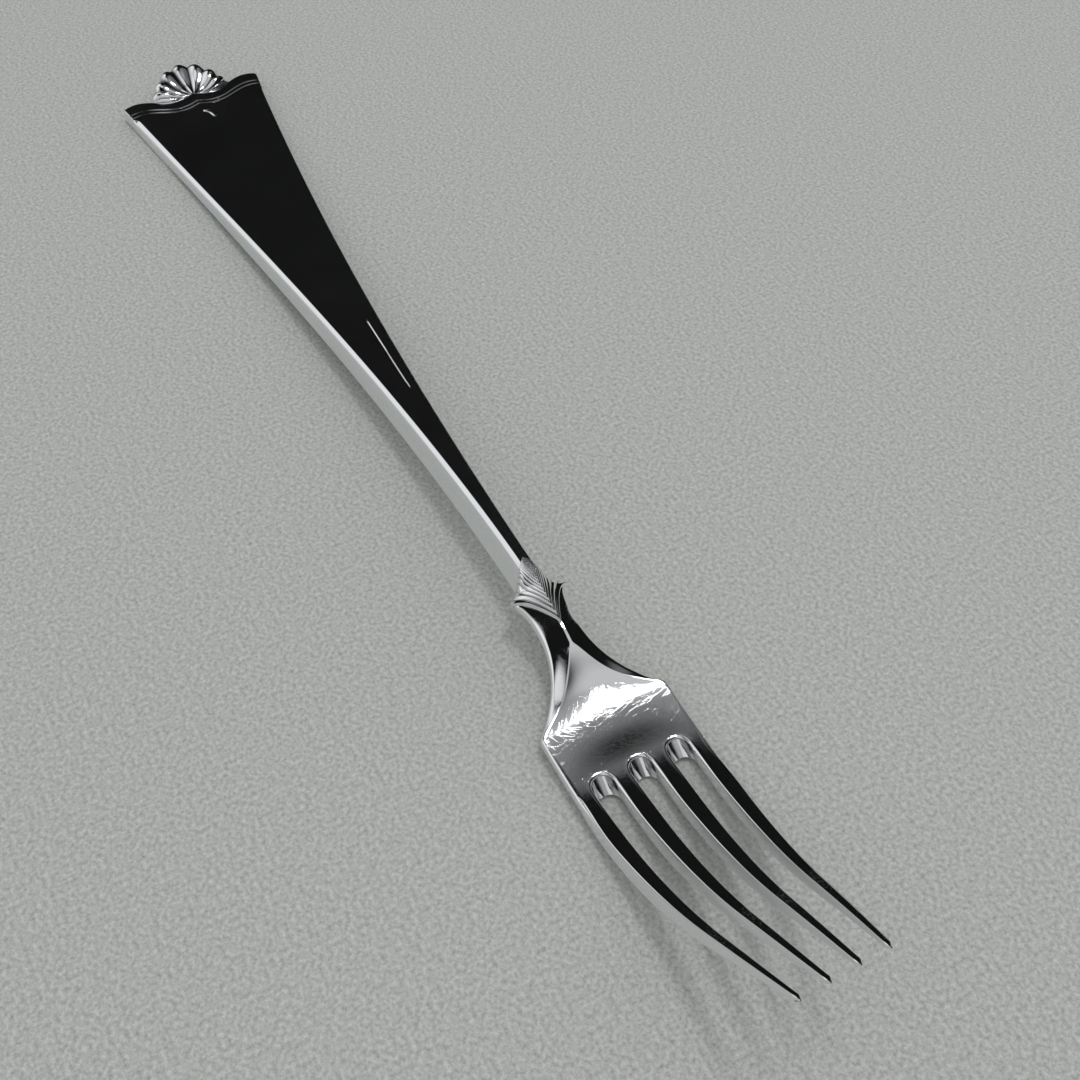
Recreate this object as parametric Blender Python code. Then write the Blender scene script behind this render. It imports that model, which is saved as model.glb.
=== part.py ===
"""A child's table fork in polished silver, soldered up from four pieces.

handle      tapered bar with a crowned face, chamfered edges and a scroll-shaped end
shell       cast scallop shell, butt-soldered into the hollow of the handle's end
leaf_collar ribbed leaf sleeve that covers the joint between handle and neck
fork_head   neck, bowl and four tines, with a round tang that runs through the collar into the handle

Lengths below are in millimetres. Stations are measured along the fork from the corners of the
handle's end (0) towards the tine tips. Heights are measured square to the fork's back.
"""

import math

import bmesh
import bpy

MM = 0.001

# Lengths along the fork
HANDLE_LENGTH = 98.1
COLLAR_LENGTH = 6.9
NECK_LENGTH = 2.8
NECK_RIDGE_LENGTH = 2.0
SHOULDER_LENGTH = 5.6
BOWL_LENGTH = 5.7
BOWL_REST_LENGTH = 5.1
TINE_LENGTH = 27.1
FOOT_LENGTH = 10.0
SOLDER_GAP = 0.2

# Side profile of the back: flat under the handle's end, arched at the neck, an arc up to straight tips
ARCH_RISE = 3.0
TINE_CURVE_RADIUS = 31.0
TINE_CURVE_DEGREES = 39.0

# Handle: steep walls, a chamfer along each side of the face that stops short of the end
END_HALF_WIDTH = 9.72
NECK_HALF_WIDTH = 0.92
FLARE_POWER = 1.6
END_WALL_HEIGHT = 1.2
NECK_WALL_HEIGHT = 3.27
END_WALL_DRAFT = 0.05
NECK_WALL_DRAFT = 0.55
END_CHAMFER_RUN = 0.63
NECK_CHAMFER_RUN = 0.53
END_CHAMFER_RISE = 0.36
NECK_CHAMFER_RISE = 0.3
CHAMFER_STOP_RUN = 0.15
CHAMFER_STOP_FADE = 1.0
HANDLE_CROWN = 0.22
BACK_ROUNDING = 0.35

# Scroll outline of the handle's end, and the two thread lines cut along it
SCROLL_SWING = 1.12
SCROLL_DIP_FROM_CENTRE = 2.3
SCROLL_DIP_TO_HUMP = 5.6
SCROLL_OFFSET = 0.17
SCROLL_FADE_LENGTH = 30.0
THREAD_INSET = 2.15
THREAD_PITCH = 0.8
THREAD_WIDTH = 0.5
THREAD_DEPTH = 0.15

# Shell: ribs that fan out from the hub, narrower towards the seam with the handle
SHELL_RIBS = 11
SHELL_RIB_CROWDING = 0.85
SHELL_HEIGHT = 7.3
SHELL_HALF_WIDTH = 5.8
SHELL_SPREAD_DEGREES = 97.0
SHELL_ROOT_SHARE = 0.2
SHELL_BACK_HEIGHT = 0.35
SHELL_ROOT_HEIGHT = 1.75
SHELL_RIM_HEIGHT = 1.2
SHELL_DOME = 1.7
SHELL_DOME_SKEW = 2.2
SHELL_DOME_FALL_POWER = 3
SHELL_RIB_DEPTH = 0.4
SHELL_RIM_RIB_SHARE = 0.5
SHELL_SCALLOP = 0.35
SHELL_SEAM_POWER = 2

# Leaf collar: ribs in chevrons that follow its pointed lower edge and grow finer away from it
COLLAR_RIBS = 14
COLLAR_RIB_SPREAD = 1.4
COLLAR_TOP_RIB_DEPTH = 0.04
COLLAR_LIP_RIB_DEPTH = 0.18
COLLAR_NOTCH = 1.6
COLLAR_POINT = 3.8
COLLAR_POINT_CURVE = 1.7
COLLAR_LIP_HALF_WIDTH = 2.8
COLLAR_LIP_HEIGHT = 2.15
COLLAR_SEAM_EDGE_HEIGHT = 0.6
COLLAR_SEAM_POWER = 2.8
COLLAR_FLARE_SHARE = 0.7
COLLAR_SIDE_DRAFT = 0.1
COLLAR_STAND = 0.25
COLLAR_BULGE = 0.2

# Tang and its socket
TANG_DIAMETER = 1.1
TANG_SOCKET_DEPTH = 8.0
TANG_ROOT_LENGTH = 1.5
TANG_HEIGHT = 1.0
TANG_SIDES = 20

# Fork head
NECK_WAIST_HALF_WIDTH = 2.05
NECK_WAIST_POWER = 2.5
NECK_LIP_HALF_WIDTH = 2.65
SHOULDER_POWER = 2.2
SHOULDER_ROUNDING = 0.25
RIDGE_HALF_WIDTH = 0.15
CREST_OPENING_POWER = 0.65
HEAD_BEVEL_RUN = 0.25
TINE_BEVEL_RUN = 0.06
TINE_BEVEL_FADE = 0.25
HEAD_BEVEL_HEIGHT = 0.3
NECK_RIDGE_HEIGHT = 3.3
RIDGE_FALL_LENGTH = 6.2
NECK_SIDE_HEIGHT = 1.9
BOWL_HEIGHT = 1.75
TIP_HEIGHT = 0.5
DISH_DEPTH = 0.45
NECK_BACK_ROUNDING = 1.1
BOWL_BACK_ROUNDING = 0.3
TINE_PITCH = 3.82
TIP_PITCH = 2.58
PITCH_POWER = 1.7
SLOT_HALF_WIDTH = 1.05
SLOT_SCOOP = 1.4
TIP_HALF_WIDTH = 0.24
TIP_TAPER_POWER = 1.1
TINE_DRAFT = 0.25
TINE_DRAFT_POWER = 0.85

# Mesh density
SHARP_DEGREES = 35
HANDLE_ROWS = 26
HANDLE_PANEL_COLUMNS = 16
SHELL_COLUMNS_PER_RIB = 4
SHELL_ROWS = 8
COLLAR_ROWS_PER_RIB = 4
COLLAR_COLUMNS = 16
HEAD_ROOT_ROWS = 22
TINE_ROWS = 18
SLOT_COLUMNS = 4
TINE_COLUMNS = 2

# Stations that follow from the lengths
COLLAR_TIP = HANDLE_LENGTH + COLLAR_LENGTH
NECK_END = COLLAR_TIP + NECK_LENGTH
RIDGE_END = COLLAR_TIP + NECK_RIDGE_LENGTH
SHOULDER = NECK_END + SHOULDER_LENGTH
SLOT_ROOT = SHOULDER + BOWL_LENGTH
TINE_TIP = SLOT_ROOT + TINE_LENGTH
ARCH_TOP = HANDLE_LENGTH
CURVE_START = SHOULDER + BOWL_REST_LENGTH
COLLAR_TOP_HALF_WIDTH = NECK_HALF_WIDTH + NECK_WALL_DRAFT + COLLAR_STAND
THREADS_END = THREAD_INSET + THREAD_PITCH + THREAD_WIDTH / 2
TINE_COUNT = 4
HEAD_HALF_WIDTH = (TINE_COUNT / 2) * TINE_PITCH - SLOT_HALF_WIDTH


def mix(low, high, share):
    return low + (high - low) * share


def ease(share):
    share = min(1.0, max(0.0, share))
    return share * share * (3 - 2 * share)


def back_line(station):
    """Height of the fork's back above the table."""
    if station > CURVE_START:
        run = station - CURVE_START
        angle = math.radians(TINE_CURVE_DEGREES)
        bend = min(run, TINE_CURVE_RADIUS * math.sin(angle))
        arc = TINE_CURVE_RADIUS - math.sqrt(TINE_CURVE_RADIUS**2 - bend**2)
        return arc + (run - bend) * math.tan(angle)
    rise = ease((station - FOOT_LENGTH) / (ARCH_TOP - FOOT_LENGTH))
    fall = ease((station - ARCH_TOP) / (CURVE_START - ARCH_TOP))
    return ARCH_RISE * (rise - fall)


def lift(station, side, height):
    """The point at a station, a distance to the side and a height square to the back line."""
    step = 0.01
    slope = (back_line(station + step) - back_line(station - step)) / (2 * step)
    length = math.hypot(1, slope)
    return (
        (station - height * slope / length) * MM,
        side * MM,
        (back_line(station) + height / length) * MM,
    )


def silver(name, roughness):
    material = bpy.data.materials.new(name)
    material.use_nodes = True
    shader = material.node_tree.nodes["Principled BSDF"]
    shader.inputs["Base Color"].default_value = (0.96, 0.95, 0.92, 1)
    shader.inputs["Metallic"].default_value = 1.0
    shader.inputs["Roughness"].default_value = roughness
    return material


def plate(name, rows, columns, place, hole=None):
    """A grid of faces, opened where hole says so, made a solid and shaped by place(row, column, top)."""
    shape = bmesh.new()
    bmesh.ops.create_grid(shape, x_segments=rows, y_segments=columns, size=1)

    def cell(vertex):
        return round((vertex.co.x + 1) / 2 * rows), round((vertex.co.y + 1) / 2 * columns)

    if hole:
        gone = [f for f in shape.faces if hole(*min(cell(v) for v in f.verts))]
        bmesh.ops.delete(shape, geom=gone, context="FACES")
    lower = {v: cell(v) for v in shape.verts}
    made = bmesh.ops.extrude_face_region(shape, geom=list(shape.faces))
    upper = {v: cell(v) for v in made["geom"] if isinstance(v, bmesh.types.BMVert)}
    for v, spot in lower.items():
        v.co = place(*spot, False)
    for v, spot in upper.items():
        v.co = place(*spot, True)
    bmesh.ops.recalc_face_normals(shape, faces=shape.faces)
    mesh = bpy.data.meshes.new(name)
    shape.to_mesh(mesh)
    shape.free()
    return mesh


def piece(name, mesh, material, collection, parent):
    obj = bpy.data.objects.new(name, mesh)
    mesh.materials.append(material)
    mesh.shade_smooth()
    mesh.set_sharp_from_angle(angle=math.radians(SHARP_DEGREES))
    collection.objects.link(obj)
    obj.parent = parent
    return obj


def flare(station):
    return max(0.0, 1 - station / HANDLE_LENGTH) ** FLARE_POWER


def handle_half_width(station):
    return mix(NECK_HALF_WIDTH, END_HALF_WIDTH, flare(station))


def scroll(side):
    """How far the end's outline lies from the corners' line: a dip each side of the centre, then a hump."""
    turn = math.pi * (abs(side) - SCROLL_DIP_FROM_CENTRE) / SCROLL_DIP_TO_HUMP
    return SCROLL_OFFSET + SCROLL_SWING * math.cos(turn)


def thread_cut(inset):
    """Depth of the thread lines, two V grooves, at an inset from the handle's end."""
    cut = 0.0
    for groove in (THREAD_INSET, THREAD_INSET + THREAD_PITCH):
        cut = max(cut, THREAD_DEPTH * (1 - abs(inset - groove) / (THREAD_WIDTH / 2)))
    return cut


def handle_rows():
    """Insets of the handle's cross rows from its end: on the threads' edges and floors, then even."""
    insets = [0.0]
    for groove in (THREAD_INSET, THREAD_INSET + THREAD_PITCH):
        insets += [groove - THREAD_WIDTH / 2, groove, groove + THREAD_WIDTH / 2]
    insets += [THREADS_END + CHAMFER_STOP_FADE]
    first = insets[-1]
    return insets + [mix(first, HANDLE_LENGTH, (i + 1) / HANDLE_ROWS) for i in range(HANDLE_ROWS)]


def handle_mesh():
    insets = handle_rows()
    shares = [-1 + 2 * i / HANDLE_PANEL_COLUMNS for i in range(HANDLE_PANEL_COLUMNS + 1)]
    lines = [(-1, 1)] + [(share, 0) for share in shares] + [(1, 1)]

    def place(row, column, top):
        inset = insets[row]
        across, chamfer = lines[column]
        along = inset / HANDLE_LENGTH
        half = handle_half_width(inset)
        started = ease((inset - THREADS_END) / CHAMFER_STOP_FADE)
        run = mix(CHAMFER_STOP_RUN, mix(END_CHAMFER_RUN, NECK_CHAMFER_RUN, along), started)
        side = across * (half - run * (1 - chamfer))
        if not top:
            side *= 1 + mix(END_WALL_DRAFT, NECK_WALL_DRAFT, along) / half
        fade = max(0.0, 1 - inset / SCROLL_FADE_LENGTH) ** 2
        notch = max(0.0, 1 - (HANDLE_LENGTH - inset) / SCROLL_FADE_LENGTH) ** 2
        station = inset + scroll(side) * fade + COLLAR_NOTCH * abs(side) / COLLAR_TOP_HALF_WIDTH * notch
        if not top:
            rounding = BACK_ROUNDING * ease((inset - FOOT_LENGTH) / FOOT_LENGTH)
            return lift(station, side, rounding * across**4)
        wall = mix(END_WALL_HEIGHT, NECK_WALL_HEIGHT, along)
        rise = mix(END_CHAMFER_RISE, NECK_CHAMFER_RISE, along)
        crown = HANDLE_CROWN * (1 - across**2) * (half - run) / END_HALF_WIDTH
        height = wall + rise * (1 - chamfer) + crown
        return lift(station, side, height - thread_cut(inset) * (1 - chamfer))

    return plate("handle", len(insets) - 1, len(lines) - 1, place)


def shell_mesh():
    columns = SHELL_RIBS * SHELL_COLUMNS_PER_RIB
    spread = math.radians(SHELL_SPREAD_DEGREES)
    crowding = math.pi / 2 * SHELL_RIB_CROWDING
    hub = scroll(0) - SOLDER_GAP

    def place(row, column, top):
        out = row / SHELL_ROWS
        turn = spread * math.sin(mix(-crowding, crowding, column / columns)) / math.sin(crowding)
        lobe = abs(math.sin(math.pi * column / SHELL_COLUMNS_PER_RIB))
        reach = math.hypot(SHELL_HEIGHT * math.cos(turn), SHELL_HALF_WIDTH * math.sin(turn))
        reach += SHELL_SCALLOP * (lobe - 1)
        rim_side = reach * math.sin(turn)
        rim_station = hub - reach * math.cos(turn)
        root_side = SHELL_ROOT_SHARE * rim_side
        side = mix(root_side, rim_side, out)
        straight = mix(scroll(root_side) - SOLDER_GAP, rim_station, out)
        seam = scroll(side) - SOLDER_GAP
        station = min(seam, mix(straight, seam, abs(turn / spread) ** SHELL_SEAM_POWER))
        if not top:
            return lift(station, side, SHELL_BACK_HEIGHT)
        dome = SHELL_DOME * math.sin(math.pi * out**SHELL_DOME_SKEW)
        dome *= 1 - abs(turn / spread) ** SHELL_DOME_FALL_POWER
        rib_share = SHELL_RIM_RIB_SHARE if row == SHELL_ROWS else 1
        ribs = SHELL_RIB_DEPTH * rib_share * (lobe - 1) * math.sqrt(out)
        return lift(station, side, mix(SHELL_ROOT_HEIGHT, SHELL_RIM_HEIGHT, out**2) + dome + ribs)

    return plate("shell", SHELL_ROWS, columns, place)


def collar_lower_edge(side):
    """Station of the collar's lower edge, which curves from the lips to a point on the ridge."""
    share = min(1.0, abs(side) / COLLAR_LIP_HALF_WIDTH)
    return COLLAR_TIP - COLLAR_POINT * (1 - (1 - share) ** COLLAR_POINT_CURVE)


def collar_mesh():
    rows = COLLAR_RIBS * COLLAR_ROWS_PER_RIB

    def place(row, column, top):
        along = 1 - (1 - row / rows) ** (1 / COLLAR_RIB_SPREAD)
        share = -1 + 2 * column / COLLAR_COLUMNS
        first = HANDLE_LENGTH + SOLDER_GAP + COLLAR_NOTCH * abs(share)
        last = collar_lower_edge(share * COLLAR_LIP_HALF_WIDTH)
        station = mix(first, last, along)
        half = mix(COLLAR_TOP_HALF_WIDTH, COLLAR_LIP_HALF_WIDTH, ease(along / COLLAR_FLARE_SHARE))
        side = share * half
        if not top:
            rounding = mix(BACK_ROUNDING, NECK_BACK_ROUNDING, along)
            return lift(station, share * (half - COLLAR_SIDE_DRAFT), rounding * share**2)
        back = (last - station) / COLLAR_LENGTH
        lobe = abs(math.cos(math.pi * COLLAR_RIBS * back**COLLAR_RIB_SPREAD))
        handle_top = NECK_WALL_HEIGHT + NECK_CHAMFER_RISE
        ridge = mix(handle_top, NECK_RIDGE_HEIGHT, along) + COLLAR_STAND
        ridge += COLLAR_BULGE * math.sin(math.pi * along)
        edge = mix(COLLAR_SEAM_EDGE_HEIGHT, COLLAR_LIP_HEIGHT, along)
        fullness = mix(COLLAR_SEAM_POWER, 1, ease(along))
        height = mix(ridge, edge, abs(share) ** fullness)
        rib_depth = mix(COLLAR_TOP_RIB_DEPTH, COLLAR_LIP_RIB_DEPTH, along)
        return lift(station, side, height + rib_depth * (lobe - 1))

    return plate("leaf_collar", rows, COLLAR_COLUMNS, place)


def head_half_width(station):
    """Half width of neck and bowl: narrowed under the collar's lips, then spread to a rounded shoulder."""
    start = COLLAR_TIP - COLLAR_POINT
    waist = (start + NECK_END) / 2
    if station < waist:
        narrowing = 1 - min(1.0, (waist - station) / (waist - start)) ** NECK_WAIST_POWER
        return mix(NECK_LIP_HALF_WIDTH, NECK_WAIST_HALF_WIDTH, narrowing)
    spread = ((station - waist) / (SHOULDER - waist)) ** SHOULDER_POWER
    flank = mix(NECK_WAIST_HALF_WIDTH, HEAD_HALF_WIDTH, spread)
    near = max(0.0, SHOULDER_ROUNDING - abs(flank - HEAD_HALF_WIDTH))
    return min(flank, HEAD_HALF_WIDTH) - near**2 / (4 * SHOULDER_ROUNDING)


def head_crest_half_width(station):
    """Half width of the face between the two crests, which part where the neck's ridge ends."""
    opening = min(1.0, max(0.0, (station - RIDGE_END) / (SHOULDER - RIDGE_END)))
    full = head_half_width(station) - HEAD_BEVEL_RUN
    return mix(RIDGE_HALF_WIDTH, full, opening**CREST_OPENING_POWER)


def head_heights(station):
    """Crest height, outer edge height and dish depth at a station."""
    tine = min(1.0, max(0.0, (station - SLOT_ROOT) / TINE_LENGTH))
    bowl = ease((station - COLLAR_TIP) / RIDGE_FALL_LENGTH)
    crest = mix(mix(NECK_RIDGE_HEIGHT, BOWL_HEIGHT, bowl), TIP_HEIGHT, tine**2)
    edge = mix(mix(NECK_SIDE_HEIGHT, BOWL_HEIGHT - HEAD_BEVEL_HEIGHT, bowl), TIP_HEIGHT / 2, tine**2)
    dished = min(1.0, max(0.0, (station - RIDGE_END) / (SLOT_ROOT - RIDGE_END)))
    dish = DISH_DEPTH * math.sin(math.pi * dished) ** 2
    return crest, edge, dish


def head_lines():
    """Lines along the head, left to right: tine or slot, number, share across it, share of the bevel."""
    lines = [("tine", 0, -1.0, 1.0), ("tine", 0, -1.0, 0.5)]
    for tine in range(TINE_COUNT):
        for i in range(TINE_COLUMNS + 1):
            lines.append(("tine", tine, -1 + 2 * i / TINE_COLUMNS, 0.0))
        if tine + 1 < TINE_COUNT:
            for i in range(1, SLOT_COLUMNS):
                lines.append(("slot", tine, -1 + 2 * i / SLOT_COLUMNS, 0.0))
    last = TINE_COUNT - 1
    return lines + [("tine", last, 1.0, 0.5), ("tine", last, 1.0, 1.0)]


def tine_side(tine, share, bevel, along, spread=0.0):
    """Sideways place of a line on a tine, at a share of the way from its root to its tip."""
    pitch = mix(TINE_PITCH, TIP_PITCH, along**PITCH_POWER)
    half = mix(TINE_PITCH / 2 - SLOT_HALF_WIDTH, TIP_HALF_WIDTH, along**TIP_TAPER_POWER) + spread
    centre = (tine - (TINE_COUNT - 1) / 2) * pitch
    if abs(share) == 1 and tine in (0, TINE_COUNT - 1) and share * centre > 0:
        run = mix(HEAD_BEVEL_RUN, TINE_BEVEL_RUN, ease(along / TINE_BEVEL_FADE))
        half -= min(run, half / 2) * (1 - bevel)
    return centre + share * half


def head_start(across, bevel):
    """Station where a line of the head begins: a solder gap below the collar's pointed lower edge."""
    station = COLLAR_TIP
    for _ in range(30):
        side = across * mix(head_crest_half_width(station), head_half_width(station), bevel)
        station = SOLDER_GAP + collar_lower_edge(side)
    return station


def head_mesh():
    lines = head_lines()
    slot_end = SLOT_ROOT + SLOT_HALF_WIDTH
    root_crest = head_crest_half_width(slot_end)

    def root_place(row, column, top):
        kind, number, share, bevel = lines[column]
        end = slot_end if top else slot_end + SLOT_SCOOP
        root_side = tine_side(number, share, 0.0, 0.0)
        if kind == "slot":
            end -= SLOT_HALF_WIDTH * math.sqrt(1 - share**2)
            root_side = (number - (TINE_COUNT - 2) / 2) * TINE_PITCH + share * SLOT_HALF_WIDTH
        across = root_side / root_crest
        station = mix(head_start(across, bevel), end, row / HEAD_ROOT_ROWS)
        crest_half = head_crest_half_width(station)
        half = head_half_width(station)
        side = across * mix(crest_half, half, bevel)
        crest, edge, dish = head_heights(station)
        if not top:
            bowl = ease((station - COLLAR_TIP) / (SHOULDER - COLLAR_TIP))
            rounding = mix(NECK_BACK_ROUNDING, BOWL_BACK_ROUNDING, bowl)
            return lift(station, side, rounding * (side / half) ** 2)
        return lift(station, side, mix(crest, edge, bevel) - dish * (1 - across**2))

    def tine_place(row, column, top):
        kind, number, share, bevel = lines[column]
        along = (row - HEAD_ROOT_ROWS) / TINE_ROWS
        station = mix(slot_end if top else slot_end + SLOT_SCOOP, TINE_TIP, along)
        crest, edge, dish = head_heights(station)
        if top:
            return lift(station, tine_side(number, share, bevel, along), mix(crest, edge, bevel))
        spread = TINE_DRAFT * math.sin(math.pi * along**TINE_DRAFT_POWER)
        side = tine_side(number, share, bevel, along, spread)
        rounding = BOWL_BACK_ROUNDING * (1 - ease(2 * along)) * (side / HEAD_HALF_WIDTH) ** 2
        return lift(station, side, rounding)

    def place(row, column, top):
        if row <= HEAD_ROOT_ROWS:
            return root_place(row, column, top)
        return tine_place(row, column, top)

    def hole(row, column):
        slot = "slot" in (lines[column][0], lines[column + 1][0])
        return row >= HEAD_ROOT_ROWS and slot

    return plate("fork_head", HEAD_ROOT_ROWS + TINE_ROWS, len(lines) - 1, place, hole)


def rod(name, first, last, radius, collection):
    """A round bar along the fork at the tang's height, for joining and cutting."""
    length = last - first
    bpy.ops.mesh.primitive_cylinder_add(vertices=TANG_SIDES, radius=radius * MM, depth=length * MM)
    obj = bpy.context.object
    obj.name = name
    height = ARCH_RISE + TANG_HEIGHT
    obj.location = ((first + last) / 2 * MM, 0, height * MM)
    obj.rotation_euler = (0, math.pi / 2, 0)
    for owner in obj.users_collection:
        owner.objects.unlink(obj)
    collection.objects.link(obj)
    obj.hide_render = True
    obj.display_type = "WIRE"
    return obj


def combine(obj, other, operation):
    modifier = obj.modifiers.new(other.name, "BOOLEAN")
    modifier.operation = operation
    modifier.object = other


def main():
    for obj in list(bpy.data.objects):
        bpy.data.objects.remove(obj)
    scene = bpy.context.scene.collection
    fork = bpy.data.collections.new("child_fork")
    cutters = bpy.data.collections.new("cutters")
    scene.children.link(fork)
    scene.children.link(cutters)
    frame = bpy.data.objects.new("child_fork_frame", None)
    fork.objects.link(frame)

    polished = silver("polished_silver", 0.08)
    worked = silver("worked_silver", 0.16)
    handle = piece("handle", handle_mesh(), polished, fork, frame)
    shell = piece("shell", shell_mesh(), worked, fork, frame)
    collar = piece("leaf_collar", collar_mesh(), worked, fork, frame)
    head = piece("fork_head", head_mesh(), polished, fork, frame)

    socket_end = HANDLE_LENGTH - TANG_SOCKET_DEPTH
    root = COLLAR_TIP + TANG_ROOT_LENGTH
    tang = rod("tang", socket_end + SOLDER_GAP, root, TANG_DIAMETER / 2, cutters)
    socket = rod("tang_socket", socket_end, root, TANG_DIAMETER / 2 + SOLDER_GAP, cutters)
    combine(head, tang, "UNION")
    combine(collar, socket, "DIFFERENCE")
    combine(handle, socket, "DIFFERENCE")

    stations = [v.co.x for obj in (handle, shell, collar, head) for v in obj.data.vertices]
    middle = (min(stations) + max(stations)) / 2
    frame.location = (-middle, 0, 0)
    for cutter in (tang, socket):
        cutter.location.x -= middle


main()
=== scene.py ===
import math

import bpy
from mathutils import Matrix, Vector


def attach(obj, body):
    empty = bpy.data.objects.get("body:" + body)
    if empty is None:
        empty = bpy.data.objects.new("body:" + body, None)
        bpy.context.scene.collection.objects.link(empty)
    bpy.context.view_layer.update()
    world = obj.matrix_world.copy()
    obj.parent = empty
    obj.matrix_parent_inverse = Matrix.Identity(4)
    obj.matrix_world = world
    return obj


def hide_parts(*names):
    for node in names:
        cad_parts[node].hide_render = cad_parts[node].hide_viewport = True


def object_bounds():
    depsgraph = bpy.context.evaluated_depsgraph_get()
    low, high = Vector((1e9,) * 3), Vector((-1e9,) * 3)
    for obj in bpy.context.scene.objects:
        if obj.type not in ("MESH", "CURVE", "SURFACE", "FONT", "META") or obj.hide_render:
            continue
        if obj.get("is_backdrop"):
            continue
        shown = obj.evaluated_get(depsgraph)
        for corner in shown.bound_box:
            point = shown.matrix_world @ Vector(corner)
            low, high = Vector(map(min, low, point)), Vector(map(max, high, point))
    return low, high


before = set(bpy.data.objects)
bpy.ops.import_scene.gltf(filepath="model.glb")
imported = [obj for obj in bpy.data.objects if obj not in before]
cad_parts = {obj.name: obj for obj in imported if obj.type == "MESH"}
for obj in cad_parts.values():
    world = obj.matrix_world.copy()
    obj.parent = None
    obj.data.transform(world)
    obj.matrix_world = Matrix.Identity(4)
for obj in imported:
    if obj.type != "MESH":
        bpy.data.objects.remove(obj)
cadLow, cadHigh = [corner.copy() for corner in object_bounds()]
scene = bpy.context.scene
mm = 0.001

# Lengths along the fork in mm, as in the CAD model. Stations run from the corners of the
# handle's end (0) to the tine tips, heights are square to the fork's back.
fork = {
    "handle": 98.1,
    "collar": 6.9,
    "neck": 2.8,
    "neckRidge": 2.0,
    "shoulder": 5.6,
    "bowl": 5.7,
    "bowlRest": 5.1,
    "tines": 27.1,
    "foot": 10.0,
    "archRise": 3.0,
    "tineCurveRadius": 31.0,
    "tineCurveDegrees": 39.0,
    "seam": 0.03,  # hairline left between soldered pieces
    "tuck": 0.3,  # how far a piece runs on under the collar
}
collarTip = fork["handle"] + fork["collar"]
neckEnd = collarTip + fork["neck"]
ridgeEnd = collarTip + fork["neckRidge"]
shoulder = neckEnd + fork["shoulder"]
slotRoot = shoulder + fork["bowl"]
tineTip = slotRoot + fork["tines"]
archTop = fork["handle"]
curveStart = shoulder + fork["bowlRest"]
middle = tineTip - cadHigh.x / mm  # station of the frame's origin


def mix(low, high, share):
    return low + (high - low) * share


def clamp(share):
    return min(1.0, max(0.0, share))


def ease(share):
    share = clamp(share)
    return share * share * (3 - 2 * share)


def backLine(station):
    if station > curveStart:
        run = station - curveStart
        radius, angle = fork["tineCurveRadius"], math.radians(fork["tineCurveDegrees"])
        bend = min(run, radius * math.sin(angle))
        return radius - math.sqrt(radius**2 - bend**2) + (run - bend) * math.tan(angle)
    rise = ease((station - fork["foot"]) / (archTop - fork["foot"]))
    fall = ease((station - archTop) / (curveStart - archTop))
    return fork["archRise"] * (rise - fall)


# point of the frame, in metres, at a station, a distance to the side and a height above the back
def lift(station, side, height):
    step = 0.01  # mm to each side, over which the slope is read
    slope = (backLine(station + step) - backLine(station - step)) / (2 * step)
    length = math.hypot(1, slope)
    along = station - height * slope / length - middle
    return Vector((along, side, backLine(station) + height / length)) * mm


# Edges: how much of a section's side one rounded corner may take, and the angle up to which
# neighbouring faces are shaded as one
edges = {"cornerShare": 0.45, "smoothDegrees": 40}


# how far a rounded edge of this radius drops at a distance from the edge
def edgeDrop(distance, radius):
    if distance >= radius:
        return 0.0
    reach = radius - max(0.0, distance)
    return radius - math.sqrt(radius**2 - reach**2)


# points that replace the sharp corner of a section, from the side of before to the side of after
def cornerArc(before, corner, after, radius, steps):
    before, corner, after = Vector(before), Vector(corner), Vector(after)
    toBefore, toAfter = before - corner, after - corner
    start = corner + toBefore.normalized() * min(radius, edges["cornerShare"] * toBefore.length)
    end = corner + toAfter.normalized() * min(radius, edges["cornerShare"] * toAfter.length)
    points = []
    for i in range(steps + 1):
        t = i / steps
        points.append(start * (1 - t) ** 2 + corner * 2 * t * (1 - t) + end * t**2)
    return points


# A flat grid is opened where isHole says so, extruded to a closed slab, and every point of it
# is then set by placePoint(row, column, top). shadeAt(row, column, top) gives the value of an
# attribute that the finish reads: hollow, how deep a point lies in the relief, or wear, how worn it is.
def gridSolid(name, rows, columns, placePoint, shade, shadeAt, isHole=None):
    bpy.ops.object.select_all(action="DESELECT")
    bpy.ops.mesh.primitive_grid_add(x_subdivisions=rows, y_subdivisions=columns, size=2)
    piece = bpy.context.object
    piece.name = name
    mesh = piece.data
    mesh.name = name

    def cell(point):
        return round((point.x + 1) / 2 * rows), round((point.y + 1) / 2 * columns)

    if isHole:
        bpy.ops.object.mode_set(mode="EDIT")
        bpy.ops.mesh.select_mode(type="FACE")
        bpy.ops.mesh.select_all(action="DESELECT")
        bpy.ops.object.mode_set(mode="OBJECT")
        half = Vector((1 / rows, 1 / columns, 0))
        for face in mesh.polygons:
            face.select = isHole(*cell(face.center - half))
        bpy.ops.object.mode_set(mode="EDIT")
        bpy.ops.mesh.delete(type="FACE")
        bpy.ops.object.mode_set(mode="OBJECT")
    bpy.ops.object.mode_set(mode="EDIT")
    bpy.ops.mesh.select_all(action="SELECT")
    bpy.ops.mesh.extrude_region_move(TRANSFORM_OT_translate={"value": (0, 0, 1)})
    bpy.ops.object.mode_set(mode="OBJECT")
    shades = []
    for vertex in mesh.vertices:
        row, column = cell(vertex.co)
        top = vertex.co.z > 0
        vertex.co = placePoint(row, column, top)
        shades.append(shadeAt(row, column, top))
    mesh.attributes.new(shade, "FLOAT", "POINT").data.foreach_set("value", shades)
    tidyMesh(piece)
    return piece


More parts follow.
